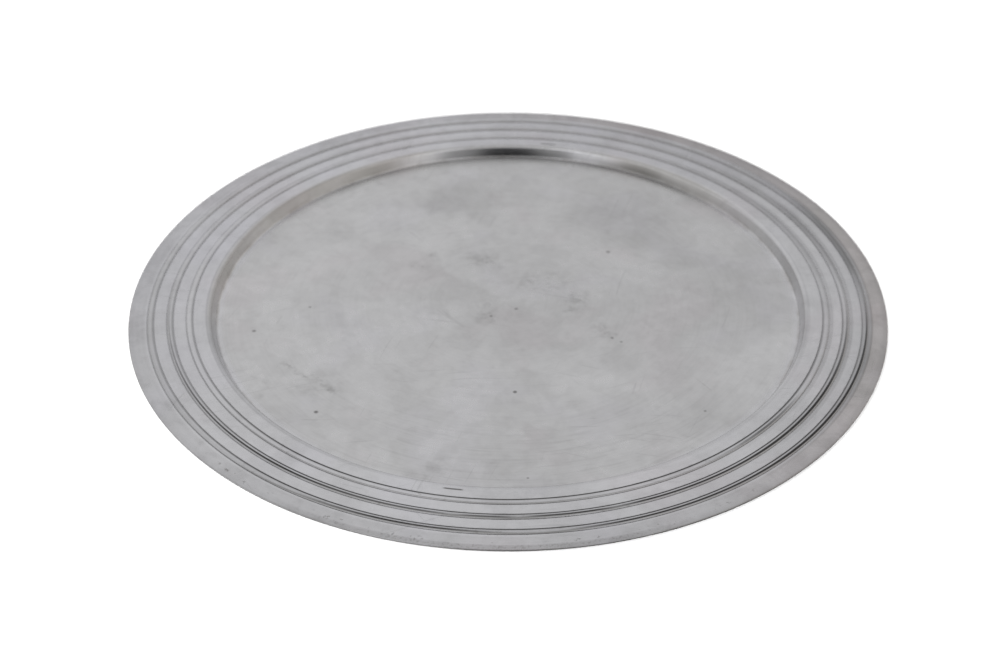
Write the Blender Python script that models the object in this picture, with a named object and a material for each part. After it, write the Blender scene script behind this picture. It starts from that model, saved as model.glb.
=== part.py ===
"""Offering plate: a sheet-metal dish with a shallow well and a broad, nearly level rim, and three
crowned reed wires lying in ring-shaped seats cut into that rim.

Frame: metres, +Z up, origin at the centre of the underside of the base, on the table the plate
stands on. Sections are drawn in millimetres as (x, z) points, x being the radius.
"""

import math

import bpy

MM = 0.001

# Dish, in millimetres
PLATE_R = 152.5          # outside radius of the rim
SHEET_T = 0.9            # gauge of the sheet
HALF_T = SHEET_T / 2
DEPTH = 4.7              # floor of the well down from the top of the rim, at the lip
RIM_RISE = 0.45          # how much higher the rim is at the start of its outer strip than at the lip
BEND_R = 118.4           # radius where the middle of the floor sheet would meet the wall, unrounded
LIP_R = 120.6            # radius where the wall would meet the middle of the rim sheet, unrounded
BEND_FILLET = 1.45       # bend radius at the foot of the wall, to the middle of the sheet
LIP_FILLET = 1.55        # bend radius at the lip, to the middle of the sheet
ROLL_W = 3.6             # outer strip of the rim, eased downwards
ROLL_START_R = PLATE_R - ROLL_W
ROLL_DROP = 0.22         # drop of the strip's arc over its full width, square to the line of the rim
FLOOR_RING_R = 60.0      # radius of a ring of points that splits the floor and the base

# Reeds, in millimetres
REEDS = (                # name, crown above the rim; from the innermost out
    ("inner_reed", 0.38),
    ("middle_reed", 0.5),
    ("outer_reed", 0.5),
)
REED_FIRST_R = 128.45    # centre-line radius of the innermost reed
REED_PITCH = 7.68        # from one reed to the next
REED_W = 2.2             # width of the wire
REED_EDGE = 0.06         # height of the wire's side above the rim, before it curves over
SEAT_DEPTH = 0.36        # seat cut into the top of the rim
SEAT_GAP = 0.3           # gap each side of the wire and under it

# Smoothness
TURN_STEPS = 96          # round the plate
BEND_STEPS = 4           # round each bend of the sheet
ROLL_STEPS = 2           # along the eased outer strip
NOSE_STEPS = 5           # round the outer edge
CROWN_STEPS = 6          # over the top of a reed
SHARP_ANGLE = 40.0       # an edge that turns more than this many degrees is a crisp corner
MERGE_DISTANCE = 0.00001  # metres; joins the points on the axis and where the turn closes


def unit_vector(start, end):
    """Direction from one point to another."""
    dx, dz = end[0] - start[0], end[1] - start[1]
    length = math.hypot(dx, dz)
    return dx / length, dz / length


def fillet_arc(before, corner, after, steps):
    """Points of the arc that rounds a corner (x, z, radius) between its two neighbours."""
    x, z, radius = corner
    back_x, back_z = unit_vector(corner, before)
    ahead_x, ahead_z = unit_vector(corner, after)
    cosine = back_x * ahead_x + back_z * ahead_z
    half_angle = math.acos(max(-1.0, min(1.0, cosine))) / 2
    tangent_length = radius / math.tan(half_angle)

    # The centre lies on the line that halves the corner
    halving_x, halving_z = back_x + ahead_x, back_z + ahead_z
    to_centre = radius / math.sin(half_angle) / math.hypot(halving_x, halving_z)
    centre_x, centre_z = x + halving_x * to_centre, z + halving_z * to_centre

    start = math.atan2(z + back_z * tangent_length - centre_z, x + back_x * tangent_length - centre_x)
    end = math.atan2(z + ahead_z * tangent_length - centre_z, x + ahead_x * tangent_length - centre_x)
    turn = (end - start + math.pi) % (2 * math.pi) - math.pi
    angles = [start + turn * i / steps for i in range(steps + 1)]
    return [(centre_x + radius * math.cos(a), centre_z + radius * math.sin(a)) for a in angles]


def rounded_path(corners, steps):
    """An open run of straight lines, each inner corner (x, z, radius) replaced by an arc."""
    path = [corners[0]]
    for before, corner, after in zip(corners, corners[1:], corners[2:]):
        path += fillet_arc(before, corner, after, steps)
    return path + [corners[-1]]


def offset(path, distance):
    """The path moved sideways by a distance, to the left of its direction of travel."""
    moved = []
    for i, (x, z) in enumerate(path):
        along_x, along_z = unit_vector(path[max(i - 1, 0)], path[min(i + 1, len(path) - 1)])
        moved.append((x - along_z * distance, z + along_x * distance))
    return moved


def reed_radius(index):
    """Centre-line radius of a reed, counted from the innermost."""
    return REED_FIRST_R + index * REED_PITCH


def rim_top(radius):
    """Height at a radius of the top of the rim, where it isn't cut or eased downwards."""
    return SHEET_T + DEPTH + RIM_RISE * (radius - LIP_R) / (ROLL_START_R - LIP_R)


def seat_profile(index):
    """The cut in the top of the rim for one reed, from its inner side out."""
    reach = REED_W / 2 + SEAT_GAP
    inner, outer = reed_radius(index) - reach, reed_radius(index) + reach
    return [
        (inner, rim_top(inner)),
        (inner, rim_top(inner) - SEAT_DEPTH),
        (outer, rim_top(outer) - SEAT_DEPTH),
        (outer, rim_top(outer)),
    ]


def roll_and_nose(start):
    """The eased outer strip, as the middle of its sheet from a start point, and the edge's nose.

    The strip is an arc tangent to the rim; the nose is half-round, about the end of that arc.
    """
    start_x, start_z = start
    slope = math.atan2(RIM_RISE, ROLL_START_R - LIP_R)
    radius = (ROLL_W ** 2 + ROLL_DROP ** 2) / (2 * ROLL_DROP)
    sweep = math.asin((ROLL_W - HALF_T) / radius)
    middle = [start]
    for i in range(1, ROLL_STEPS + 1):
        angle = sweep * i / ROLL_STEPS - slope
        middle.append((
            start_x + radius * (math.sin(angle) + math.sin(slope)),
            start_z + radius * (math.cos(angle) - math.cos(slope)),
        ))

    centre_x, centre_z = middle[-1]
    nose = []
    for i in range(1, NOSE_STEPS):
        angle = sweep - slope + math.pi * i / NOSE_STEPS
        nose.append((centre_x + HALF_T * math.sin(angle), centre_z + HALF_T * math.cos(angle)))

    # Shift the points beyond the centre so that the outermost lies at the plate's radius
    shift = PLATE_R - max(x for x, _ in nose)
    nose = [(x + shift if x > centre_x else x, z) for x, z in nose]
    return middle, nose


def dish_profile():
    """Half section of the dish, from the middle of the floor over the rim and back underneath."""
    rim_end = (ROLL_START_R, HALF_T + DEPTH + RIM_RISE)
    middle = rounded_path(
        [
            (0.0, HALF_T),
            (BEND_R, HALF_T, BEND_FILLET),
            (LIP_R, HALF_T + DEPTH, LIP_FILLET),
            rim_end,
        ],
        BEND_STEPS,
    )
    top, under = offset(middle, HALF_T), offset(middle, -HALF_T)
    roll, nose = roll_and_nose(rim_end)
    roll_top, roll_under = offset(roll, HALF_T)[1:], offset(roll, -HALF_T)[1:]

    profile = [top[0], (FLOOR_RING_R, top[0][1])] + top[1:-1]
    for index in range(len(REEDS)):
        profile += seat_profile(index)
    profile += [top[-1]] + roll_top + nose
    profile += (under[1:] + roll_under)[::-1]
    return profile + [(FLOOR_RING_R, under[0][1]), under[0]]


def reed_profile(index, crown):
    """Closed section of one reed wire: flat underneath, short sides and a crowned top."""
    centre = reed_radius(index)
    half_width = REED_W / 2
    underside = SEAT_GAP - SEAT_DEPTH
    rise = crown - REED_EDGE
    radius = (half_width ** 2 + rise ** 2) / (2 * rise)
    reach = math.asin(half_width / radius)
    # Points are across from the wire's centre line and up from the top of the rim
    section = [(-half_width, underside)]
    for i in range(CROWN_STEPS + 1):
        angle = reach * (2 * i / CROWN_STEPS - 1)
        section.append((radius * math.sin(angle), crown - radius * (1 - math.cos(angle))))
    section.append((half_width, underside))
    return [(centre + x, rim_top(centre + x) + z) for x, z in section]


def turned(name, profile, closed, material, parent):
    """A solid of revolution about +Z: the section as a wire, turned by a Screw that is baked in."""
    count = len(profile)
    edges = [(i, i + 1) for i in range(count - 1)]
    if closed:
        edges.append((count - 1, 0))
    wire = bpy.data.meshes.new(name + "_section")
    wire.from_pydata([(x * MM, 0.0, z * MM) for x, z in profile], edges, [])
    piece = bpy.data.objects.new(name, wire)
    bpy.context.scene.collection.objects.link(piece)

    screw = piece.modifiers.new("turn", "SCREW")
    screw.axis = "Z"
    screw.angle = 2 * math.pi
    screw.steps = screw.render_steps = TURN_STEPS
    screw.use_merge_vertices = True
    screw.merge_threshold = MERGE_DISTANCE
    bpy.context.view_layer.update()
    evaluated = piece.evaluated_get(bpy.context.evaluated_depsgraph_get())
    solid = bpy.data.meshes.new_from_object(evaluated)
    piece.modifiers.remove(screw)
    piece.data = solid
    bpy.data.meshes.remove(wire)

    solid.name = name
    solid.materials.append(material)
    solid.shade_smooth()
    solid.set_sharp_from_angle(angle=math.radians(SHARP_ANGLE))
    piece.parent = parent


def metal(name, colour, roughness):
    """A bare metal of one colour."""
    material = bpy.data.materials.new(name)
    material.use_nodes = True
    shader = material.node_tree.nodes["Principled BSDF"]
    shader.inputs["Base Color"].default_value = (*colour, 1.0)
    shader.inputs["Metallic"].default_value = 1.0
    shader.inputs["Roughness"].default_value = roughness
    return material


for old in list(bpy.data.objects):
    bpy.data.objects.remove(old, do_unlink=True)

sheet_silver = metal("sheet_silver", colour=(0.66, 0.66, 0.67), roughness=0.36)
wire_silver = metal("wire_silver", colour=(0.62, 0.62, 0.63), roughness=0.28)

plate = bpy.data.objects.new("offering_plate", None)
bpy.context.scene.collection.objects.link(plate)

turned("dish", dish_profile(), closed=False, material=sheet_silver, parent=plate)
for index, (name, crown) in enumerate(REEDS):
    turned(name, reed_profile(index, crown), closed=True, material=wire_silver, parent=plate)
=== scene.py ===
# A shallow round dish in dulled silver plate: a flat floor, a short wall and a wide rim with a
# rolled edge, and three wires (reeds) lying in seats in the rim. It lies flat on z = 0, centred on
# the Z axis, and the camera looks from the -Y side, so +X is on the right. Lengths are in mm until
# they are scaled by MM; the stage, lamp and camera are in metres.
import functools
import math
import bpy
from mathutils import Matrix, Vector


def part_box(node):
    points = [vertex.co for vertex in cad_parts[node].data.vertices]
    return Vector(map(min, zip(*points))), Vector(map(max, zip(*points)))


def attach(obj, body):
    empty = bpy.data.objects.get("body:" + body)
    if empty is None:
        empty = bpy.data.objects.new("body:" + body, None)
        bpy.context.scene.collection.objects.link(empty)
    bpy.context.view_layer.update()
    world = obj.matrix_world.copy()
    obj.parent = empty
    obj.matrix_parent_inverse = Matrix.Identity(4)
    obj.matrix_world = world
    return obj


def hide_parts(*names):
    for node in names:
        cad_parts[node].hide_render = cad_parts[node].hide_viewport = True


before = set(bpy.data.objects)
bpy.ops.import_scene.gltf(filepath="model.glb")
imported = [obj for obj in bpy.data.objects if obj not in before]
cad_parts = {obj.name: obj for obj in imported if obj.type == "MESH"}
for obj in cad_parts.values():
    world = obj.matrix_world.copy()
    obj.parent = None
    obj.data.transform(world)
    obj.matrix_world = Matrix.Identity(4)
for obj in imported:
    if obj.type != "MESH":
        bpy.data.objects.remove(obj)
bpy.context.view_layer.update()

from types import SimpleNamespace

import bpy
import numpy as np
from mathutils import Matrix, Vector

MM = 0.001

# ---------------------------------------------------------------- sizes, read from the frame
dish_low, dish_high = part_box("dish")
RIM_R = (dish_high.x - dish_low.x) / 2 / MM             # outside radius of the rim
TOP = dish_high.z / MM                                  # top of the rim, where its outer strip starts
REEDS = ("inner_reed", "middle_reed", "outer_reed")
REED_BOX = [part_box(name) for name in REEDS]

SHEET = 0.9               # thickness of the sheet, and so the height of the floor
RIM_RISE = 0.45           # climb of the rim from the wall to the outer strip
ROLL_W, ROLL_DROP = 3.6, 0.22                           # the curved outer strip
ROLL_R = RIM_R - ROLL_W
BEND_R, BEND_FILLET = 118.4, 1.45                       # foot of the wall
LIP_R, LIP_FILLET = 120.6, 1.55                         # head of the wall
RIM_RUN = ROLL_R - LIP_R

REED_W = 2.2
REED_MID = [high.x / MM - REED_W / 2 for _, high in REED_BOX]
REED_TOP = [high.z / MM for _, high in REED_BOX]
BED_DEPTH = 0.11          # how far down the solder and dirt beside each wire lie
SEAT_HALF = 1.40          # half width of the seat
SEAT_LIP_W, SEAT_LIP_DROP = 0.16, 0.10                  # rounded lip of each seat
WIRE_HALF = 1.17          # half width of the wire as it looks, solder included
WIRE_CHAMFER = 0.04       # bottom corners of the wire
WIRE_LIFT = 0.03          # underside of the wire above the bed
SHOULDER = 0.04           # start of the crown above the rim
FLATNESS = (3.2, 2.0, 2.0)                              # the innermost wire is worn flat

# segment counts
TURN = 720
FILLET_STEPS = 12
FLOOR_RINGS, BASE_RINGS = 26, 14
ROLL_STEPS, NOSE_STEPS = 6, 12
CROWN_STEPS = 26


def rim_top(radius):
    return TOP - RIM_RISE * (ROLL_R - radius) / RIM_RUN


def crown_rise(index):
    return REED_TOP[index] - rim_top(REED_MID[index]) - SHOULDER


def add_object(name, data):
    obj = bpy.data.objects.new(name, data)
    bpy.context.scene.collection.objects.link(obj)
    return obj


# ---------------------------------------------------------------- outlines, as (radius, z)
def rounded_path(corners, steps):
    """An open run of straight lines whose inner corners (x, z, radius) are arcs."""
    path = [corners[0][:2]]
    for before, (x, z, radius), after in zip(corners, corners[1:], corners[2:]):
        corner = Vector((x, z))
        back = Vector((before[0] - x, before[1] - z)).normalized()
        onward = Vector((after[0] - x, after[1] - z)).normalized()
        half = math.acos(max(-1.0, min(1.0, back.dot(onward)))) / 2
        reach = radius / math.tan(half)
        centre = corner + (back + onward).normalized() * (radius / math.sin(half))
        first, last = corner + back * reach - centre, corner + onward * reach - centre
        start = math.atan2(first.y, first.x)
        sweep = (math.atan2(last.y, last.x) - start + math.pi) % (2 * math.pi) - math.pi
        for i in range(steps + 1):
            angle = start + sweep * i / steps
            path.append((centre.x + radius * math.cos(angle), centre.y + radius * math.sin(angle)))
    return path + [corners[-1][:2]]


def offset(path, distance):
    """The path moved sideways, to its left for a positive distance."""
    moved = []
    for i, (x, z) in enumerate(path):
        x0, z0 = path[max(i - 1, 0)]
        x1, z1 = path[min(i + 1, len(path) - 1)]
        length = math.hypot(x1 - x0, z1 - z0)
        moved.append((x - (z1 - z0) / length * distance, z + (x1 - x0) / length * distance))
    return moved


def between(start, end, count):
    """Points strictly between start and end on a straight line."""
    return [
        (start[0] + (end[0] - start[0]) * i / (count + 1),
         start[1] + (end[1] - start[1]) * i / (count + 1))
        for i in range(1, count + 1)
    ]


def flat_rings(reach, count, z):
    """Rings on a flat disc, closer together towards its edge."""
    return [(reach * (i / count) ** 0.85, z) for i in range(1, count)]


def rim_stretch(start, end):
    """Three points on the plain top of the rim, between two radii."""
    return [(x, rim_top(x)) for x in (start + (end - start) * i / 4 for i in range(1, 4))]


def seat_lip(edge, centre, start):
    """A rounded lip, turning down 90 degrees from the start angle."""
    points = []
    for i in range(6):
        angle = math.radians(start - 18 * i)
        points.append((centre + SEAT_LIP_W * math.cos(angle),
                       rim_top(edge) - SEAT_LIP_DROP + SEAT_LIP_DROP * math.sin(angle)))
    return points


def rim_outline(start):
    """Top of the rim from a radius to the outer strip, with the three seats."""
    points = []
    for mid in REED_MID:
        inner, outer = mid - SEAT_HALF, mid + SEAT_HALF
        points += rim_stretch(start, inner - SEAT_LIP_W)
        points += seat_lip(inner, inner - SEAT_LIP_W, 90)
        bed = [(edge, rim_top(edge) - BED_DEPTH) for edge in (inner, outer)]
        points += [bed[0], *between(*bed, 3), bed[1]]
        points += seat_lip(outer, outer + SEAT_LIP_W, 180)
        start = outer + SEAT_LIP_W
    return points + rim_stretch(start, ROLL_R)


def roll_outline():
    """The curved outer strip: its top, its rounded nose and its underside."""
    half = SHEET / 2
    roll_z = TOP - half
    slope = math.atan2(RIM_RISE, RIM_RUN)
    radius = (ROLL_W ** 2 + ROLL_DROP ** 2) / (2 * ROLL_DROP)
    last = math.asin((ROLL_W - half) / radius)
    middle = [(ROLL_R, roll_z)]
    for i in range(1, ROLL_STEPS + 1):
        angle = last * i / ROLL_STEPS - slope
        middle.append((ROLL_R + radius * (math.sin(angle) + math.sin(slope)),
                       roll_z + radius * (math.cos(angle) - math.cos(slope))))
    nose_x, nose_z = middle[-1]
    nose = []
    for i in range(1, NOSE_STEPS):
        angle = last - slope + math.pi * i / NOSE_STEPS
        nose.append((nose_x + half * math.sin(angle), nose_z + half * math.cos(angle)))
    # stretch the nose so that it reaches the outside radius
    reach = max(x for x, _ in nose)
    nose = [(x + (RIM_R - reach) * max(0.0, (x - nose_x) / half), z) for x, z in nose]
    return offset(middle, half), nose, offset(middle, -half)


def dish_section():
    half = SHEET / 2
    roll_z = TOP - half
    middle = rounded_path(
        [(0.0, half), (BEND_R, half, BEND_FILLET), (LIP_R, roll_z - RIM_RISE, LIP_FILLET),
         (ROLL_R, roll_z)],
        FILLET_STEPS,
    )
    top, under = offset(middle, half), offset(middle, -half)
    roll_top, nose, roll_under = roll_outline()
    floor_top = [(0.0, SHEET)] + flat_rings(top[1][0], FLOOR_RINGS, SHEET)
    wall_top = top[1:-1]
    below = roll_under[::-1] + between(roll_under[0], under[-2], 8) + under[1:-1][::-1]
    base = flat_rings(under[1][0], BASE_RINGS, 0.0)[::-1] + [(0.0, 0.0)]
    return floor_top + wall_top + rim_outline(wall_top[-1][0]) + roll_top + nose + below + base


def reed_section(index):
    """Closed section with a flat underside and a crowned top. Returns the points and, for each,
    how far up the crown it is (0 at the shoulder, 1 at the crest)."""
    mid, half, rise = REED_MID[index], WIRE_HALF, crown_rise(index)
    bottom = WIRE_LIFT - BED_DEPTH
    left = [(-half + WIRE_CHAMFER, bottom), (-half, bottom + WIRE_CHAMFER)]
    right = [(half, bottom + WIRE_CHAMFER), (half - WIRE_CHAMFER, bottom)]
    crown, levels = [], []
    for i in range(CROWN_STEPS + 1):
        across = 2 * i / CROWN_STEPS - 1
        across = math.copysign(1 - (1 - abs(across)) ** 1.25, across)
        level = 1 - abs(across) ** FLATNESS[index]
        crown.append((across * half, SHOULDER + rise * level))
        levels.append(level)
    points = [(mid + x, rim_top(mid + x) + z) for x, z in left + crown + right]
    return points, [0.0, 0.0] + levels + [0.0, 0.0]


# ---------------------------------------------------------------- turned geometry
FLUTTER_R = 118.0
# height, waves round the rim, phase
FLUTTER = [(0.07, 2, 0.7), (0.035, 3, 2.1), (0.015, 7, 0.4)]
# x, y, size, height
DINGS = [
    (-62.0, 34.0, 9.0, -0.035), (48.0, -52.0, 7.0, -0.03), (21.0, 66.0, 11.0, 0.03),
    (-18.0, -70.0, 6.0, -0.025), (74.0, 22.0, 8.0, 0.025), (-88.0, -28.0, 7.0, -0.02),
    (8.0, 8.0, 14.0, 0.02),
]


def sheet_warp(x, y):
    """Slow out-of-flatness: a hair of flutter in the rim and shallow unevenness in the floor."""
    radius = np.hypot(x, y)
    angle = np.arctan2(y, x)
    edge = np.clip((radius - FLUTTER_R) / (RIM_R - FLUTTER_R), 0, 1) ** 1.5
    flutter = edge * sum(height * np.sin(waves * angle + phase) for height, waves, phase in FLUTTER)
    inside = np.clip((112.0 - radius) / 20.0, 0, 1)
    # three crossing waves, each a height and a length with its phase
    uneven = inside * (
        0.014 * np.sin(x / 17.0 + 1.3) * np.cos(y / 21.0 - 0.4)
        + 0.010 * np.sin((x + y) / 11.0 + 0.2)
        + 0.008 * np.cos((x - 1.7 * y) / 9.0 + 2.0)
    )
    return flutter + uneven


def dings(x, y):
    total = np.zeros_like(x)
    for ding_x, ding_y, size, height in DINGS:
        total += height * np.exp(-((x - ding_x) ** 2 + (y - ding_y) ** 2) / (2 * size ** 2))
    return total


def lathe(name, section, closed, lift=None):
    """A solid of revolution about +Z; points on the axis become triangle fans.
    lift(ring index, angles) gives an extra height."""
    angles = np.arange(TURN) * 2 * math.pi / TURN
    rings, verts, count = [], [], 0
    for i, (radius, z) in enumerate(section):
        if radius < 1e-9:
            rings.append([count])
            verts.append(np.array([[0.0, 0.0, z]]))
            count += 1
            continue
        heights = np.full(TURN, z) + (lift(i, angles) if lift else 0.0)
        verts.append(np.stack([radius * np.cos(angles), radius * np.sin(angles), heights], axis=1))
        rings.append(range(count, count + TURN))
        count += TURN
    points = np.concatenate(verts)
    points[:, 2] += sheet_warp(points[:, 0], points[:, 1]) + dings(points[:, 0], points[:, 1])
    faces = []
    pairs = list(zip(rings, rings[1:])) + ([(rings[-1], rings[0])] if closed else [])
    for ring, following in pairs:
        for k in range(TURN):
            n = (k + 1) % TURN
            if len(ring) == 1:
                faces.append((ring[0], following[k], following[n]))
            elif len(following) == 1:
                faces.append((ring[k], following[0], ring[n]))
            else:
                faces.append((ring[k], following[k], following[n], ring[n]))
    mesh = bpy.data.meshes.new(name)
    mesh.from_pydata((points * MM).tolist(), [], faces)
    mesh.update()
    mesh.shade_smooth()
    mesh.set_sharp_from_angle(angle=math.radians(38))
    return add_object(name, mesh)


# ---------------------------------------------------------------- shader maths
class Wire:
    """A node output that can be used in Python sums."""

    def __init__(self, tree, socket):
        self.tree, self.socket = tree, socket

    def __add__(self, other): return calc("ADD", self, other)
    def __radd__(self, other): return calc("ADD", other, self)
    def __sub__(self, other): return calc("SUBTRACT", self, other)
    def __rsub__(self, other): return calc("SUBTRACT", other, self)
    def __mul__(self, other): return calc("MULTIPLY", self, other)
    def __truediv__(self, other): return calc("DIVIDE", self, other)


def source(tree, kind, output):
    """An output of a new node that has no inputs to fill."""
    return Wire(tree, tree.nodes.new(kind).outputs[output])


def feed(socket, value):
    """Links a wire to an input, or sets the input to a plain value."""
    if isinstance(value, Wire):
        value.tree.links.new(value.socket, socket)
    else:
        socket.default_value = value


def new_node(kind, *values):
    """A node in the tree of the wires among the values. Returns the tree and the node."""
    tree = next(value.tree for value in values if isinstance(value, Wire))
    return tree, tree.nodes.new(kind)


def calc(operation, *values):
    tree, node = new_node("ShaderNodeMath", *values)
    node.operation = operation
    for socket, value in zip(node.inputs, values):
        feed(socket, value)
    return Wire(tree, node.outputs[0])


def largest(*values):
    return functools.reduce(lambda one, other: calc("MAXIMUM", one, other), values)


def clamp(value, low, high):
    return largest(calc("MINIMUM", value, high), low)


def vector_calc(operation, *values):
    tree, node = new_node("ShaderNodeVectorMath", *values)
    node.operation = operation
    for socket, value in zip(node.inputs, values):
        feed(socket, value)
    is_number = operation in ("LENGTH", "DISTANCE", "DOT_PRODUCT")
    return Wire(tree, node.outputs[1 if is_number else 0])


def scaled(vector, factor):
    tree, node = new_node("ShaderNodeVectorMath", vector)
    node.operation = "SCALE"
    feed(node.inputs[0], vector)
    feed(node.inputs["Scale"], factor)
    return Wire(tree, node.outputs[0])


def split(vector):
    tree, node = new_node("ShaderNodeSeparateXYZ", vector)
    feed(node.inputs[0], vector)
    return [Wire(tree, node.outputs[i]) for i in range(3)]


def join(*parts):
    tree, node = new_node("ShaderNodeCombineXYZ", *parts)
    for socket, value in zip(node.inputs, parts):
        feed(socket, value)
    return Wire(tree, node.outputs[0])


def ramp(value, start, end, low=0.0, high=1.0, smooth=True):
    """low at start and high at end, eased and clamped. start may be above end."""
    tree, node = new_node("ShaderNodeMapRange", value)
    node.interpolation_type = "SMOOTHSTEP" if smooth else "LINEAR"
    if start > end:
        start, end, low, high = end, start, high, low
    feed(node.inputs["Value"], value)
    for key, level in (("From Min", start), ("From Max", end), ("To Min", low), ("To Max", high)):
        feed(node.inputs[key], level)
    return Wire(tree, node.outputs["Result"])


def band(value, middle, half, soft):
    """1 within half of the middle, easing to 0 over soft."""
    return ramp(calc("ABSOLUTE", value - middle), half + soft, half)


def near(point, x, y, inner, outer):
    """1 within inner of a point, easing to 0 at outer."""
    return ramp(vector_calc("DISTANCE", point, (x, y, 0.0)), outer, inner)


def noise(vector, scale=1.0, detail=2.0, rough=0.5, distortion=0.0):
    tree, node = new_node("ShaderNodeTexNoise", vector)
    feed(node.inputs["Vector"], vector)
    node.inputs["Scale"].default_value = scale
    node.inputs["Detail"].default_value = detail
    node.inputs["Roughness"].default_value = rough
    node.inputs["Distortion"].default_value = distortion
    return Wire(tree, node.outputs[0])


def cells(vector, scale):
    """Scattered points: the distance to the nearest, and its random colour."""
    tree, node = new_node("ShaderNodeTexVoronoi", vector)
    feed(node.inputs["Vector"], vector)
    node.inputs["Scale"].default_value = scale
    return Wire(tree, node.outputs["Distance"]), Wire(tree, node.outputs["Color"])


def table(value, stops):
    """Reads (position, level) pairs, with a straight line between neighbours."""
    tree, node = new_node("ShaderNodeValToRGB", value)
    low, high = stops[0][0], stops[-1][0]
    feed(node.inputs["Fac"], (value - low) * (1.0 / (high - low)))
    elements = node.color_ramp.elements
    elements[0].color = (stops[0][1],) * 3 + (1.0,)
    elements[-1].color = (stops[-1][1],) * 3 + (1.0,)
    for position, level in stops[1:-1]:
        elements.new((position - low) / (high - low)).color = (level,) * 3 + (1.0,)
    return split(Wire(tree, node.outputs["Color"]))[0]


def mix(factor, base, over):
    """Colour mix."""
    tree, node = new_node("ShaderNodeMix", factor)
    node.data_type = "RGBA"
    feed(node.inputs[0], factor)
    for key, colour in ((6, base), (7, over)):
        feed(node.inputs[key], colour if isinstance(colour, Wire) else (*colour, 1.0))
    return Wire(tree, node.outputs[2])


# ---------------------------------------------------------------- marks on the metal
LIGHT_SILVER, DULL_SILVER = (0.735, 0.734, 0.745), (0.545, 0.542, 0.548)
SEAM_BLACK, FLANK_BLACK = (0.03, 0.028, 0.027), (0.035, 0.033, 0.032)
# the second of these is painted shade for the corner at the foot of the wall
FOOT_BROWN, FOOT_SHADE_COLOUR = (0.27, 0.235, 0.20), (0.05, 0.047, 0.044)
# the third of these is painted shade for the underside of the nose
EDGE_LINE, EDGE_SPOT, NOSE_PAINTED_SHADE = (0.16, 0.15, 0.14), (0.12, 0.11, 0.10), (0.055, 0.052, 0.05)
FLOOR_DIRT, PIT_DARK, PINHOLE_DARK = (0.20, 0.195, 0.19), (0.10, 0.095, 0.09), (0.12, 0.115, 0.11)
CROWN_SPECK, SCRATCH_GREY = (0.20, 0.19, 0.18), (0.36, 0.357, 0.36)

# pits: x, y, radius, depth of tone
PITS = [
    (43.0, 36.5, 1.3, 0.55), (-80.6, -4.5, 0.8, 0.5), (-6.7, -10.8, 0.9, 0.6),
    (2.8, -60.7, 1.1, 0.8), (-71.7, -72.9, 1.15, 0.75), (-101.4, -21.2, 1.1, 0.6),
    (73.9, -72.3, 0.8, 0.5), (41.5, -25.9, 0.9, 0.6), (7.2, -110.4, 0.7, 0.5),
    (3.5, -5.8, 1.1, 0.5), (45.0, -28.5, 0.8, 0.5),
]
# smudges: x, y, size, depth of tone
SMUDGES = [
    (-11.3, 28.0, 9.0, 0.6), (27.6, -1.0, 8.0, 0.6), (-6.0, -9.0, 8.0, 0.75),
    (42.1, -21.2, 8.0, 0.7), (12.0, 11.0, 14.0, 0.5), (-29.0, -107.0, 6.0, 0.32),
    (-33.0, 29.0, 6.0, 0.5), (-94.0, -57.0, 4.0, 0.35), (-72.0, -55.0, 8.0, 0.35),
]
# short stains: x and y at each end, half width, depth of tone
STREAKS = [
    (-88.0, -42.0, -82.0, -47.0, 0.8, 0.7), (-81.0, -48.5, -77.0, -52.0, 0.7, 0.8),
    (-74.5, -51.0, -71.0, -56.0, 1.0, 0.9), (-71.0, -56.0, -66.0, -60.0, 1.5, 1.0),
    (26.0, 0.2, 30.0, -0.8, 2.6, 1.0), (43.5, -23.0, 41.0, -27.0, 1.2, 0.6),
    (-13.0, 28.0, -9.5, 26.5, 1.4, 0.6), (-28.0, -104.8, -24.0, -105.6, 3.4, 0.5),
]
# broad patches on the floor: x, y, size, dullness
PATCHES = [
    (52.0, 62.0, 32.0, 0.32), (80.0, 16.0, 26.0, 0.20), (-18.0, 80.0, 20.0, 0.42),
    (-60.0, 34.0, 40.0, -0.10), (-98.0, 30.0, 30.0, -0.05), (30.0, -60.0, 26.0, -0.14),
    (10.0, -92.0, 34.0, 0.14), (0.0, 5.0, 44.0, 0.16), (98.0, -42.0, 34.0, -0.26),
]
# dashes on the near lip: x, y, half length along the rim, depth of tone
DASHES = [(-19.0, -121.6, 4.2, 0.9), (46.5, -118.4, 3.2, 0.6)]
# hairline scratches: heading in radians, frequency along and across, threshold, seed
SCRATCHES = [
    (0.35, 0.020, 0.85, 0.69, 3.1), (1.25, 0.026, 0.95, 0.70, 17.7),
    (2.2, 0.018, 0.80, 0.71, 41.3), (2.85, 0.030, 1.05, 0.69, 63.9),
    (0.05, 0.034, 1.00, 0.68, 88.2),
]

# Tone by angle round the dish, as (degrees from +X, level); 270 is nearest the camera.
# painted shade in the corner of the foot
FOOT_SHADE_BY_ANGLE = [
    (0, 0.0), (25, 0.03), (40, 0.14), (55, 0.44), (65, 0.42), (75, 0.24), (85, 0.50), (92, 0.52),
    (98, 0.19), (110, 0.12), (125, 0.07), (140, 0.04), (155, 0.02), (180, 0.0), (360, 0.0),
]
# painted light and shade on the wall, as its brightness by angle (0.5 is unchanged)
WALL_LIGHT_AND_SHADE = [
    (0, 0.68), (15, 0.62), (30, 0.62), (45, 0.50), (60, 0.64), (72, 0.88), (80, 0.70), (90, 0.74),
    (98, 0.74), (108, 0.80), (122, 0.66), (135, 0.52), (150, 0.66), (165, 0.86), (185, 0.86),
    (198, 0.60), (215, 0.95), (250, 0.50), (310, 0.46), (330, 0.64), (344, 0.15), (352, 0.30),
    (360, 0.68),
]
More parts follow.
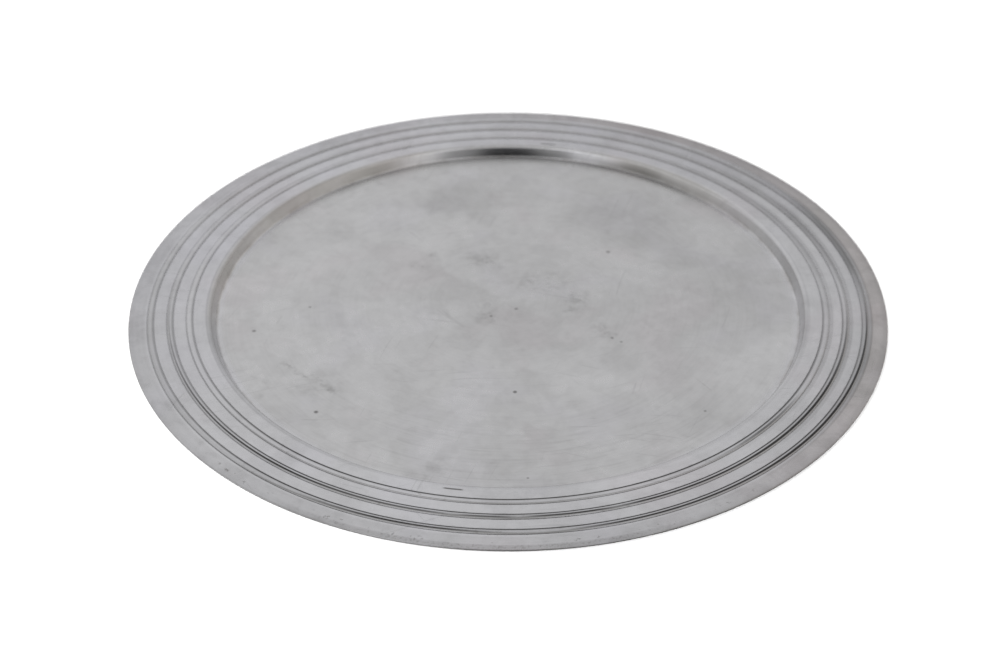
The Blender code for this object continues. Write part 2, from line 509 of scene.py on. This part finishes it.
# dullness of the lip at the head of the wall
LIP = [
    (0, 0.13), (20, 0.08), (40, 0.03), (60, 0.13), (72, 0.10), (84, 0.06), (90, 0.12), (97, 0.06),
    (108, 0.13), (118, 0.05), (125, 0.06), (140, 0.10), (160, 0.20), (180, 0.21), (215, 0.21),
    (240, 0.15), (255, 0.05), (275, 0.05), (300, 0.07), (330, 0.08), (345, 0.10), (360, 0.13),
]
# dullness of the whole rim
RIM = [
    (0, 0.0), (25, 0.04), (50, 0.10), (75, 0.06), (105, 0.03), (150, 0.02), (190, 0.0),
    (295, 0.0), (320, 0.02), (360, 0.0),
]
# dirt in the crevices beside the wires
DIRT = [
    (0, 0.32), (30, 0.12), (60, 0.04), (120, 0.05), (150, 0.12), (180, 0.22), (210, 0.46),
    (235, 0.95), (300, 1.0), (325, 0.86), (345, 0.58), (360, 0.32),
]
# extra dirt on the outer side of each wire
OUTER_DIRT = [
    (0, 0.38), (25, 0.18), (45, 0.0), (165, 0.12), (185, 0.30), (200, 0.58), (225, 0.50),
    (245, 0.16), (265, 0.0), (285, 0.04), (305, 0.20), (330, 0.58), (345, 0.58), (360, 0.38),
]
# painted shade on the sheet just outside each wire, on the right
WIRE_SHADE_BY_ANGLE = [
    (0, 0.60), (12, 0.95), (24, 1.0), (36, 0.50), (50, 0.10), (62, 0.0), (308, 0.0),
    (325, 0.62), (340, 0.95), (350, 0.80), (360, 0.60),
]
WIRE_SHADE_SHARE = (0.20, 0.22, 0.42)                        # its strength outside each wire
# dullness of each wire
WIRE_TONE = [
    [(0, 0.10), (10, 0.25), (20, 0.33), (45, 0.30), (60, 0.20), (75, 0.14), (90, 0.09),
     (135, 0.12), (160, 0.05), (180, 0.0), (230, 0.04), (260, 0.06), (270, 0.10), (280, 0.06),
     (340, 0.08), (360, 0.10)],
    [(0, 0.12), (10, 0.36), (20, 0.49), (30, 0.37), (45, 0.24), (60, 0.18), (75, 0.12),
     (90, 0.09), (135, 0.12), (160, 0.05), (180, 0.03), (230, 0.08), (260, 0.14), (270, 0.26),
     (280, 0.12), (310, 0.14), (328, 0.31), (342, 0.24), (360, 0.12)],
    [(0, 0.38), (9, 0.63), (20, 0.60), (30, 0.38), (45, 0.18), (60, 0.19), (75, 0.12),
     (90, 0.07), (120, 0.16), (150, 0.07), (180, 0.08), (205, 0.12), (230, 0.14), (262, 0.18),
     (270, 0.20), (280, 0.14), (310, 0.16), (328, 0.34), (342, 0.32), (360, 0.38)],
]
# darkness of the painted reflection line along the outer shoulder of each wire
WIRE_REFLECTION_LINE = [
    [(0, 0.0), (20, 0.10), (45, 0.0), (300, 0.0), (309, 0.40), (316, 0.75), (323, 0.55),
     (330, 0.0), (360, 0.0)],
    [(0, 0.04), (20, 0.35), (45, 0.12), (75, 0.0), (170, 0.0), (190, 0.35), (203, 0.62),
     (215, 0.85), (235, 1.0), (247, 0.82), (258, 0.78), (262, 0.30), (265, 0.80), (269, 0.75),
     (272, 0.25), (275, 0.85), (283, 0.95), (286, 0.5), (290, 0.95), (330, 1.0), (345, 0.70),
     (360, 0.04)],
    [(0, 0.34), (18, 0.45), (45, 0.15), (75, 0.0), (160, 0.05), (195, 0.16), (225, 0.20),
     (238, 0.10), (244, 0.60), (252, 1.0), (262, 0.9), (267, 0.45), (270, 0.10), (278, 0.15),
     (282, 0.70), (286, 0.95), (330, 1.0), (348, 0.9), (360, 0.34)],
]
# tarnish on the inner flank and painted reflection on the outer flank of each wire, from its middle:
# start of the inner one, start and end of the outer one, strength of the outer one
WIRE_FLANK = [(-0.30, 0.85, 1.15, 0.08), (-0.46, 0.62, 0.86, 0.14), (-0.46, 0.62, 0.86, 0.14)]


# ---------------------------------------------------------------- metal, shared by all pieces
def surface_position(tree):
    """Where a point of the surface is, in mm and degrees."""
    point = scaled(source(tree, "ShaderNodeTexCoord", "Object"), 1 / MM)
    x, y, z = split(point)
    flat = join(x, y, 0.0)
    radius = vector_calc("LENGTH", flat)
    angle = calc("ARCTAN2", y, x) * (180.0 / math.pi)                    # -180 to 180, 0 on +X
    turn = ramp(angle, -0.001, 0.001, low=360.0, high=0.0, smooth=False) + angle    # 0 to 360
    return SimpleNamespace(point=point, x=x, y=y, z=z, flat=flat, radius=radius, angle=angle,
                           turn=turn, outward=vector_calc("NORMALIZE", flat))


def spun_rings(here, around, across, detail, rough):
    """Rings left by spinning: narrow in radius, long round the dish."""
    position = vector_calc("ADD", scaled(here.outward, around),
                           join(0.0, 0.0, here.radius * across))
    return noise(position, detail=detail, rough=rough)


def hairlines(here):
    """Scratches in several directions, each broken into short runs."""
    lines = []
    for heading, along, across, cut, seed in SCRATCHES:
        cosine, sine = math.cos(heading), math.sin(heading)
        run = here.x * cosine + here.y * sine
        side = here.y * cosine - here.x * sine
        bend = noise(here.flat, scale=0.018, detail=1, rough=0.5) * 10.0
        line = noise(join(run * along + seed, (side + bend) * across, seed), detail=1, rough=0.4)
        broken = noise(join(run * 0.03 + seed, side * 0.03, 5.0), detail=2, rough=0.5)
        lines.append(ramp(line, cut, cut + 0.05) * ramp(broken, 0.48, 0.60))
    return largest(*lines)


def wandering(here, scales, reach):
    """The position on the sheet, shifted unevenly by up to half the reach."""
    shift_x = noise(here.point, scale=scales[0], detail=3, rough=0.6)
    shift_y = noise(here.point, scale=scales[1], detail=3, rough=0.6, distortion=0.3)
    half = reach / 2
    return vector_calc("ADD", here.flat, join(shift_x * reach - half, shift_y * reach - half, 0.0))


def silver_colour(here, shade):
    """From light to dull, drifting between a rosy and a cool cast."""
    cast = noise(here.point, scale=0.022, detail=2, rough=0.5)
    rosy, cool = ramp(cast, 0.52, 0.66), ramp(cast, 0.48, 0.36)
    return vector_calc("MULTIPLY", mix(shade, LIGHT_SILVER, DULL_SILVER), join(
        1.0 + rosy * 0.006, 1.0 - rosy * 0.010 - cool * 0.003, 1.0 - rosy * 0.004 + cool * 0.010))


def pinholes(here):
    """Random pinholes in the plating."""
    distance, pick = cells(here.point, scale=0.085)
    chosen = ramp(split(pick)[0], 0.80, 0.82)
    size = split(pick)[1] * 0.035 + 0.015
    return ramp(distance / size, 1.0, 0.45) * chosen


def silver(name, dress):
    """Dulled silver plate. dress(here, blotch, shade, rough) adds the marks of one kind of piece
    and returns its colour and roughness."""
    material = bpy.data.materials.new(name)
    material.use_nodes = True
    tree = material.node_tree
    tree.nodes.clear()
    out = tree.nodes.new("ShaderNodeOutputMaterial")
    shader = tree.nodes.new("ShaderNodeBsdfPrincipled")
    tree.links.new(shader.outputs[0], out.inputs["Surface"])
    shader.inputs["Metallic"].default_value = 1.0
    here = surface_position(tree)
    point = here.point

    # slow cloudiness, crisp-edged water stains, blotches and a fine grain
    cloud = noise(point, scale=0.016, detail=3, rough=0.55)
    stain = noise(point, scale=0.034, detail=6, rough=0.62, distortion=0.8)
    blotch = noise(point, scale=0.085, detail=5, rough=0.62, distortion=0.5)
    mottle = noise(point, scale=0.26, detail=4, rough=0.65)
    grain = noise(point, scale=1.3, detail=2, rough=0.6)
    rings = spun_rings(here, around=2.2, across=0.9, detail=3, rough=0.65)
    fine_rings = spun_rings(here, around=5.0, across=3.2, detail=2, rough=0.5)
    scratch = ramp(hairlines(here), 0.15, 0.9)

    shade = (ramp(cloud, 0.34, 0.66, high=0.20) + ramp(stain, 0.46, 0.53, high=0.12)
             + ramp(blotch, 0.42, 0.62, high=0.17) + ramp(mottle, 0.40, 0.74, high=0.15)
             + ramp(rings, 0.35, 0.75, high=0.12) + 0.06)
    rough = 0.20 + shade * 0.07 + ramp(mottle, 0.35, 0.75, high=0.03)
    colour, rough = dress(here, blotch, shade, rough)

    colour = mix(scratch * 0.18, colour, SCRATCH_GREY)
    pin = pinholes(here)
    feed(shader.inputs["Base Color"], mix(pin * 0.70, colour, PINHOLE_DARK))
    rough = rough + scratch * 0.06 + pin * 0.2
    feed(shader.inputs["Roughness"], clamp(rough, low=0.08, high=0.8))

    # relief in mm
    height = (rings * 0.0020 + fine_rings * 0.0009 + mottle * 0.0030 - scratch * 0.0022
              - pin * 0.010 + grain * 0.0006)
    bump = tree.nodes.new("ShaderNodeBump")
    bump.inputs["Strength"].default_value = 1.0
    bump.inputs["Distance"].default_value = MM
    feed(bump.inputs["Height"], height)
    tree.links.new(bump.outputs[0], shader.inputs["Normal"])
    return material


# ---------------------------------------------------------------- metal of the dish
def dish_zones(here):
    """Masks for the parts of the dish."""
    radius, z = here.radius, here.z
    on_top = largest(ramp(z, 0.45, 0.6) * ramp(radius, 119.0, 118.0),
                     ramp(z, TOP - 0.8, TOP - 0.7))
    return SimpleNamespace(
        on_top=on_top,
        floor=ramp(radius, 116.8, 115.0) * on_top,
        on_sheet=ramp(z, 0.45, 0.6),
        wall=band(radius, 119.6, half=1.4, soft=0.8),
        rim=ramp(radius, 121.6, 122.6),
        between_reeds=band(radius, (REED_MID[1] + REED_MID[2]) / 2, half=2.2, soft=0.8),
        outer=ramp(radius, REED_MID[2] + 1.6, REED_MID[2] + 2.8),
        edge=ramp(radius, 149.6, 151.4),
        wander=wandering(here, scales=(0.03, 0.031), reach=44.0),
    )


def dish_shade(here, zones, blotch, shade):
    """Dullness in broad patches, in streaks round the near part of the floor and on the
    outer strip."""
    for x, y, size, amount in PATCHES:
        patch = near(zones.wander, x, y, inner=size * 0.35, outer=size * 1.15)
        shade = shade + patch * zones.floor * amount
    shade = shade + zones.floor * 0.09
    arcs = noise(join(here.angle * 0.06, here.radius * 0.55, 2.0), detail=3, rough=0.6)
    arcs = ramp(arcs, 0.50, 0.68) * ramp(here.radius, 74.0, 92.0) * zones.floor
    shade = shade + arcs * band(here.angle, -92.0, half=34.0, soft=40.0) * 0.26
    return shade + zones.outer * ramp(blotch, 0.35, 0.65, high=0.20)


def dish_dullness_and_wall_light(here, zones, colour):
    """Duller and a touch warmer on the outer strip, more so on the right; duller between the middle
    and outer wires, at the edge, on the rim and at the lip; painted light and shade and a warm
    painted reflection on the wall.
    """
    turn = here.turn
    right = band(here.angle, 20.0, half=40.0, soft=50.0)
    lip = band(here.radius, 120.95, half=0.8, soft=0.8)
    fade = (1.0 - zones.outer * (0.085 + right * 0.105)
            - zones.between_reeds * (0.015 + right * 0.045) - zones.edge * 0.045
            - zones.rim * table(turn, RIM) - lip * table(turn, LIP))
    # painted light and shade on the wall, by angle
    fade = fade * (1.0 + zones.wall * (table(turn, WALL_LIGHT_AND_SHADE) - 0.5) * 0.5)
    warm = zones.outer * (0.05 + right * 0.95)
    # a warm painted reflection on the far wall, to the left and to the right
    tan = zones.wall * largest(band(turn, 148.0, half=36.0, soft=12.0),
                               band(turn, 52.0, half=8.0, soft=12.0))
    cool = zones.rim * band(turn, 115.0, half=60.0, soft=30.0)
    return vector_calc("MULTIPLY", scaled(colour, fade), join(
        1.0 + tan * 0.012, 1.0 - warm * 0.036,
        1.0 - warm * 0.066 - zones.floor * 0.015 - tan * 0.030 + cool * 0.016))


def rim_height(radius):
    """Height of the top of the rim at a radius, in a shader."""
    slope = RIM_RISE / RIM_RUN
    return radius * slope + (TOP - slope * ROLL_R)


def seam_dirt_and_wire_shade(here, zones, colour, rough):
    """Dirt in the seats and a breath of it on the lips beside them, most on the inner side and along
    the near half; and painted shade on the sheet just outside each wire, on the right."""
    amount, beside = table(here.turn, DIRT), table(here.turn, OUTER_DIRT)
    wire_shade = table(here.turn, WIRE_SHADE_BY_ANGLE)
    seams = []
    for mid, share in zip(REED_MID, WIRE_SHADE_SHARE):
        off = here.radius - mid
        deep = ramp(here.z - rim_height(here.radius), -0.015, -0.075)
        inner = band(off, -1.36, half=0.12, soft=0.20) * 0.80
        outside = band(off, 1.40, half=0.10, soft=0.20) * beside * 0.50
        crevice = band(off, 0.0, half=SEAT_HALF + 0.01, soft=0.02) * deep
        crevice = crevice * ramp(off, -0.3, 0.3, low=0.95, high=0.20)
        specks = ramp(noise(here.point, scale=0.5, detail=3, rough=0.6), 0.46, 0.74)
        halo = band(off, -0.2, half=1.5, soft=0.55) * specks * 0.30
        seam = largest(inner, largest(crevice, halo)) * amount
        # painted shade just outside each wire, on the right
        wire_shade_beside = band(off, 1.95, half=0.55, soft=0.65) * wire_shade * share
        seams.append(largest(seam, largest(outside, wire_shade_beside)))
    dirt = largest(*seams) * ramp(here.z, TOP - 1.0, TOP - 0.85)
    return mix(dirt, colour, SEAM_BLACK), rough + dirt * 0.20


def foot_stain_and_shade(here, zones, colour, rough):
    """A thin brownish stain along the foot of the wall, stronger in places, under painted shade in
    the corner of the foot.
    """
    radius, z = here.radius, here.z
    stain = band(radius, 118.2, half=0.35, soft=0.9) * ramp(z, 2.6, 1.3) * ramp(z, 0.5, 0.7)
    stain = stain * ramp(noise(here.point, scale=0.09, detail=3, rough=0.6), 0.40, 0.70)
    colour = mix(stain * 0.30, colour, FOOT_BROWN)
    # painted shade in the corner at the foot of the wall, by angle
    corner_shade = ramp(radius, 116.7, 118.0) * ramp(radius, 119.9, 118.7) * zones.on_sheet
    return mix(corner_shade * table(here.turn, FOOT_SHADE_BY_ANGLE), colour, FOOT_SHADE_COLOUR), rough


def edge_tarnish_and_nose_shade(here, zones, colour, rough):
    """Tarnish along the near edge: a speckled line and spots inside it; and painted shade on the
    underside of the nose, darkest on the near side."""
    point, radius, z, angle = here.point, here.radius, here.z, here.angle
    speck = ramp(noise(point, scale=0.9, detail=3, rough=0.65), 0.50, 0.66)
    line = band(radius, 151.1, half=0.35, soft=0.9) * band(angle, -93.0, half=15.0, soft=16.0)
    line = line * ramp(z, TOP - 0.8, TOP - 0.6)
    colour = mix(line * (0.16 + speck * 0.30), colour, EDGE_LINE)
    spots = band(radius, 149.8, half=0.5, soft=1.2)
    spots = spots * ramp(noise(point, scale=0.42, detail=3, rough=0.65), 0.60, 0.70)
    spots = spots * band(angle, -96.0, half=34.0, soft=12.0)
    colour = mix(spots * 0.55 * zones.on_top, colour, EDGE_SPOT)
    # painted shade on the underside of the nose, darkest on the near side
    nose = ramp(radius, RIM_R - 0.55, RIM_R - 0.25) * ramp(z, TOP - 0.36, TOP - 0.55)
    darkness = 0.22 + band(angle, -70.0, half=52.0, soft=12.0) * 0.74
    return mix(nose * darkness, colour, NOSE_PAINTED_SHADE), rough + nose * 0.1


def floor_dirt(here, zones, colour, rough):
    """Smudges and short stains made of fine specks."""
    point = here.point
    smudges = largest(*[
        near(zones.wander, x, y, inner=size * 0.1, outer=size * 1.25) * amount
        for x, y, size, amount in SMUDGES
    ])
    fine = (ramp(noise(point, scale=0.55, detail=4, rough=0.7), 0.47, 0.66) * 0.30
            + ramp(noise(point, scale=0.20, detail=3, rough=0.6), 0.42, 0.68) * 0.42 + 0.12)
    jitter = wandering(here, scales=(0.45, 0.47), reach=5.0)
    streaks = []
    for x0, y0, x1, y1, half, amount in STREAKS:
        span = math.hypot(x1 - x0, y1 - y0)
        way_x, way_y = (x1 - x0) / span, (y1 - y0) / span
        away = vector_calc("SUBTRACT", jitter, (x0, y0, 0.0))
        along = clamp(vector_calc("DOT_PRODUCT", away, (way_x, way_y, 0.0)), low=0.0, high=span)
        nearest = join(along * way_x, along * way_y, 0.0)
        streaks.append(ramp(vector_calc("DISTANCE", away, nearest), half * 1.7, 0.0) * amount)
    broken = ramp(noise(point, scale=0.32, detail=2, rough=0.6), 0.36, 0.56, low=0.25)
    dirt = largest(smudges * fine, largest(*streaks) * broken * (fine * 0.55 + 0.22))
    return mix(dirt * zones.floor, colour, FLOOR_DIRT), rough


def pits_and_dashes(here, zones, colour, rough):
    marks = [
        near(here.flat, x, y, inner=size * 0.35, outer=size) * amount
        for x, y, size, amount in PITS
    ]
    for x, y, length, amount in DASHES:
        angle = math.atan2(y, x)
        away = vector_calc("SUBTRACT", here.flat, (x, y, 0.0))
        along = vector_calc("DOT_PRODUCT", away, (-math.sin(angle), math.cos(angle), 0.0))
        marks.append(band(along, 0.0, half=length * 0.6, soft=length * 0.4)
                     * band(here.radius, math.hypot(x, y), half=0.2, soft=0.35) * amount)
    pits = largest(*marks)
    return mix(pits * zones.on_top * 0.85, colour, PIT_DARK), rough + pits * 0.2


def dish_dress(here, blotch, shade, rough):
    zones = dish_zones(here)
    colour = silver_colour(here, dish_shade(here, zones, blotch, shade))
    colour = dish_dullness_and_wall_light(here, zones, colour)
    rough = rough + zones.floor * 0.06 - zones.wall * 0.05
    for layer in (seam_dirt_and_wire_shade, foot_stain_and_shade, edge_tarnish_and_nose_shade, floor_dirt, pits_and_dashes):
        colour, rough = layer(here, zones, colour, rough)
    return colour, rough


# ---------------------------------------------------------------- metal of the wires
def reed_dress(here, blotch, shade, rough):
    """Tarnish on the inner flank of each wire, painted reflection on its outer flank, a painted
    reflection line along its outer shoulder, and specks in the crown."""
    turn = here.turn
    amount, beside = table(turn, DIRT), table(turn, OUTER_DIRT)
    wide = band(turn, 328.0, half=12.0, soft=12.0)      # where the line broadens
    tones = []
    for mid, flank, line, tone in zip(REED_MID, WIRE_FLANK, WIRE_REFLECTION_LINE, WIRE_TONE):
        inner_start, outer_start, outer_end, outer_share = flank
        off = here.radius - mid
        this_wire = ramp(off, -2.0, -1.9) * ramp(off, 2.0, 1.9)
        inner = ramp(off, inner_start, -0.96) * 0.84
        # painted reflection on the outer flank, strongest on the near half
        outside = ramp(off, outer_start, outer_end) * outer_share
        # a painted reflection line along the outer shoulder: the dark stand behind the camera seen in
        # the wire
        reflection_core = band((off - 0.34) * (1.0 - wide * 0.28), 0.0, half=0.22, soft=0.20)
        reflection_core = reflection_core * table(turn, line) * 0.97
        outside = largest(outside * amount, ramp(off, 0.80, 1.10) * beside * 0.50)
        marks = largest(inner * amount, outside, reflection_core) * this_wire
        tones.append(largest(marks, table(turn, tone) * this_wire))
    patina_and_reflection = largest(*tones)
    # tarnish, dullness and painted reflection, laid on in one dark colour
    colour = mix(patina_and_reflection, silver_colour(here, shade), FLANK_BLACK)
    worn = ramp(noise(here.point, scale=0.35, detail=3, rough=0.6), 0.60, 0.72)
    worn = worn * band(here.angle, -92.0, half=30.0, soft=30.0)
    return mix(worn * 0.30, colour, CROWN_SPECK), rough - 0.06 + patina_and_reflection * 0.2


# ---------------------------------------------------------------- the pieces
# How high each crown still stands, and stretches that differ: angle in degrees, width, change.
# The inner wire is the most worn, and the others have rubbed stretches.
CROWN_WEAR = [
    (0.80, [(316.0, 7.0, 0.20)]),
    (0.98, [(271.0, 2.0, -0.30), (262.0, 1.0, -0.20), (285.0, 1.5, -0.15)]),
    (0.96, [(274.0, 6.0, -0.42), (226.0, 14.0, -0.42)]),
]


def crown_lift(index, levels):
    """The lift for lathe that wears down the crown of one wire."""
    level, stretches = CROWN_WEAR[index]

    def lift(i, angles):
        height = np.full_like(angles, level)
        height = height + 0.03 * np.sin(5 * angles + index) + 0.02 * np.sin(13 * angles + 2 * index)
        for centre, width, change in stretches:
            away = (np.degrees(angles) - centre + 180) % 360 - 180
            height = height + change * np.exp(-(away / width) ** 2)
        return (np.minimum(height, 1.0) - 1.0) * crown_rise(index) * levels[i]

    return lift


def place_piece(obj, metal, replaced):
    obj.data.materials.append(metal)
    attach(obj, "root")
    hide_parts(replaced)


dish = lathe("spun_dish", dish_section(), closed=False)
place_piece(dish, silver("dulled_sheet", dish_dress), "dish")

reed_metal = silver("dulled_wire", reed_dress)
for index, name in enumerate(REEDS):
    section, levels = reed_section(index)
    reed = lathe(name + "_wire", section, closed=True, lift=crown_lift(index, levels))
    place_piece(reed, reed_metal, name)


# ---------------------------------------------------------------- stage, in metres
STAGE_HALF, STAGE_Z = 3.0, -0.0002


def stage_material():
    material = bpy.data.materials.new("stage_floor_white")
    material.use_nodes = True
    tree = material.node_tree
    inputs = tree.nodes["Principled BSDF"].inputs
    # pale to look at, but quieter in the metal, so that the edge of the dish reads against it
    path = tree.nodes.new("ShaderNodeLightPath").outputs
    in_metal, in_camera = Wire(tree, path["Is Glossy Ray"]), Wire(tree, path["Is Camera Ray"])
    feed(inputs["Base Color"], mix(in_metal, (0.86, 0.86, 0.86), (0.42, 0.42, 0.42)))
    inputs["Roughness"].default_value = 0.9
    inputs["Specular IOR Level"].default_value = 0.1
    # the floor stays white to the horizon, past the reach of the lamp
    far = ramp(vector_calc("LENGTH", source(tree, "ShaderNodeTexCoord", "Object")), 0.45, 1.1)
    inputs["Emission Color"].default_value = (1.0, 1.0, 1.0, 1.0)
    feed(inputs["Emission Strength"], far * in_camera)
    return material


def stage_floor():
    mesh = bpy.data.meshes.new("stage_floor")
    corners = [(-1, -1), (1, -1), (1, 1), (-1, 1)]
    points = [(x * STAGE_HALF, y * STAGE_HALF, STAGE_Z) for x, y in corners]
    mesh.from_pydata(points, [], [(0, 1, 2, 3)])
    obj = add_object("stage_floor", mesh)
    mesh.materials.append(stage_material())


def studio_world():
    """The studio as the metal sees it: a bright backdrop facing the camera, the dark gap round its
    edge, a dimmer low horizon, and behind the camera two bright flanks either side of a dark
    stand. Angles are in degrees."""
    world = bpy.data.worlds.new("studio")
    bpy.context.scene.world = world
    world.use_nodes = True
    tree = world.node_tree
    tree.nodes.clear()
    direction = source(tree, "ShaderNodeTexCoord", "Generated")
    x, y, z = split(direction)
    degrees = 180.0 / math.pi
    up = calc("ARCSINE", clamp(z, low=-1.0, high=1.0)) * degrees
    side = calc("ARCTAN2", x, y) * degrees              # 0 towards +Y, positive towards +X
    back = 180.0 - calc("ABSOLUTE", side)               # from -Y
    tilt = math.radians(32.0)                           # middle of the backdrop above the horizon
    dot = vector_calc("DOT_PRODUCT", direction, (0.0, math.cos(tilt), math.sin(tilt)))
    away = calc("ARCCOSINE", clamp(dot, low=-1.0, high=1.0)) * degrees

    # the room: lighter on the left, a little darker and warmer on the right, and dim low down
    right = ramp(x, -0.15, 0.15)
    colour = mix(right, (0.635, 0.635, 0.64), (0.53, 0.515, 0.50))
    low = mix(right, (0.44, 0.437, 0.435), (0.475, 0.465, 0.455))
    colour = mix(ramp(up, 24.0, 7.0), colour, low)
    # duller corners behind and to either side
    corner = band(back, 53.0, half=3.0, soft=12.0) * ramp(up, 38.0, 15.0) * ramp(up, -2.0, 8.0)
    colour = mix(corner, colour, mix(right, (0.30, 0.295, 0.285), (0.36, 0.35, 0.335)))
    # ceiling
    colour = mix(ramp(up, 44.0, 62.0), colour, (0.58, 0.578, 0.575))
    # behind the camera: two bright flanks either side of a dark stand
    flank = ramp(up, 8.0, 18.0) * ramp(up, 72.0, 62.0) * band(back, 32.0, half=8.0, soft=7.0)
    bright = ramp(up, 20.0, 36.0, low=0.60, high=0.85) * ramp(x, -0.1, 0.1, low=1.12, high=0.98)
    colour = mix(flank, colour, join(bright, bright, bright * 1.02))
    stand = ramp(up, 2.0, 10.0) * ramp(up, 40.0, 33.0)
    colour = mix(stand * ramp(back, 29.0, 23.0), colour, (0.29, 0.29, 0.29))
    colour = mix(stand * ramp(back, 14.0, 8.0), colour, (0.045, 0.045, 0.047))
    # zenith
    colour = mix(ramp(up, 66.0, 80.0), colour, (0.505, 0.502, 0.495))
    # the gap round the upper edge of the backdrop, laid on twice to deepen it
    for _ in range(2):
        gap = ramp(away, 40.0, 45.0) * ramp(away, 60.0, 52.0) * ramp(up, 40.0, 50.0)
        colour = mix(gap * 0.6, colour, (0.30, 0.295, 0.29))
    # the backdrop, a little duller to the right, low down and at the top
    fall = (ramp(side, -8.0, 10.0) * (0.03 + ramp(up, 36.0, 29.0) * 0.09)
            + ramp(up, 36.0, 28.0) * 0.02
            + ramp(side, 12.0, 30.0) * 0.06 + ramp(up, 45.0, 58.0) * 0.06)
    level = largest(0.71 - fall, 0.3)
    colour = mix(ramp(away, 42.0, 36.0), colour, join(level, level, level * 1.015))
    # plain white where it is looked at directly
    colour = mix(source(tree, "ShaderNodeLightPath", "Is Camera Ray"), colour, (1.0, 1.0, 1.0))
    background = tree.nodes.new("ShaderNodeBackground")
    feed(background.inputs["Color"], colour)
    background.inputs["Strength"].default_value = 1.0
    out = tree.nodes.new("ShaderNodeOutputWorld")
    tree.links.new(background.outputs[0], out.inputs["Surface"])


def soft_light(name, position, size, watts):
    """A disk aimed at the origin, for the floor only: the metal sees the studio, not this lamp."""
    light = bpy.data.lights.new(name, "AREA")
    light.shape = "DISK"
    light.size = size
    light.energy = watts
    obj = add_object(name, light)
    obj.location = position
    obj.rotation_mode = "QUATERNION"
    obj.rotation_quaternion = (-Vector(position)).to_track_quat("-Z", "Y")
    obj.visible_glossy = False
    obj.visible_camera = False


# ---------------------------------------------------------------- camera
CAMERA_TILT = math.radians(34.456)                      # how far it looks down
CAMERA_FAR = 4.3961                                     # distance, in rim radii
AIM_LEFT, AIM_DOWN = 0.00463, 0.02109                   # slight turn off the middle of the rim
CAMERA_ROLL = -0.00345
FOCUS_Y = -0.12                                         # sharp on the near rim, soft on the far one


def camera():
    """Looks down from the -Y side, with a slight turn and roll."""
    forward = Vector((0.0, math.cos(CAMERA_TILT), -math.sin(CAMERA_TILT)))
    up = Vector((0.0, math.sin(CAMERA_TILT), math.cos(CAMERA_TILT)))
    right = Vector((1.0, 0.0, 0.0))
    place = -forward * (CAMERA_FAR * (RIM_R * MM)) + Vector((0.0, 0.0, TOP * MM))
    look = (forward - AIM_LEFT * right - AIM_DOWN * up).normalized()
    side = look.cross(Vector((0, 0, 1))).normalized()
    above = side.cross(look)
    cosine, sine = math.cos(CAMERA_ROLL), math.sin(CAMERA_ROLL)
    side, above = cosine * side + sine * above, cosine * above - sine * side
    data = bpy.data.cameras.new("camera")
    data.sensor_width = 36.0
    data.lens = 59.10
    data.clip_start, data.clip_end = 0.01, 50.0
    obj = add_object("camera", data)
    rows = [(side[i], above[i], -look[i], place[i]) for i in range(3)]
    obj.matrix_world = Matrix((*rows, (0, 0, 0, 1)))
    bpy.context.scene.camera = obj
    focus = add_object("focus_point", None)
    focus.location = (0.0, FOCUS_Y, TOP * MM)
    data.dof.use_dof = True
    data.dof.focus_object = focus
    data.dof.aperture_fstop = 13.5


stage_floor()
studio_world()
soft_light("front_softbox", position=(-0.25, -1.5, 1.15), size=1.2, watts=80.0)
camera()
view = bpy.context.scene.view_settings
view.view_transform = "Standard"
view.look = "None"
view.exposure = 0.0
view.gamma = 1.0
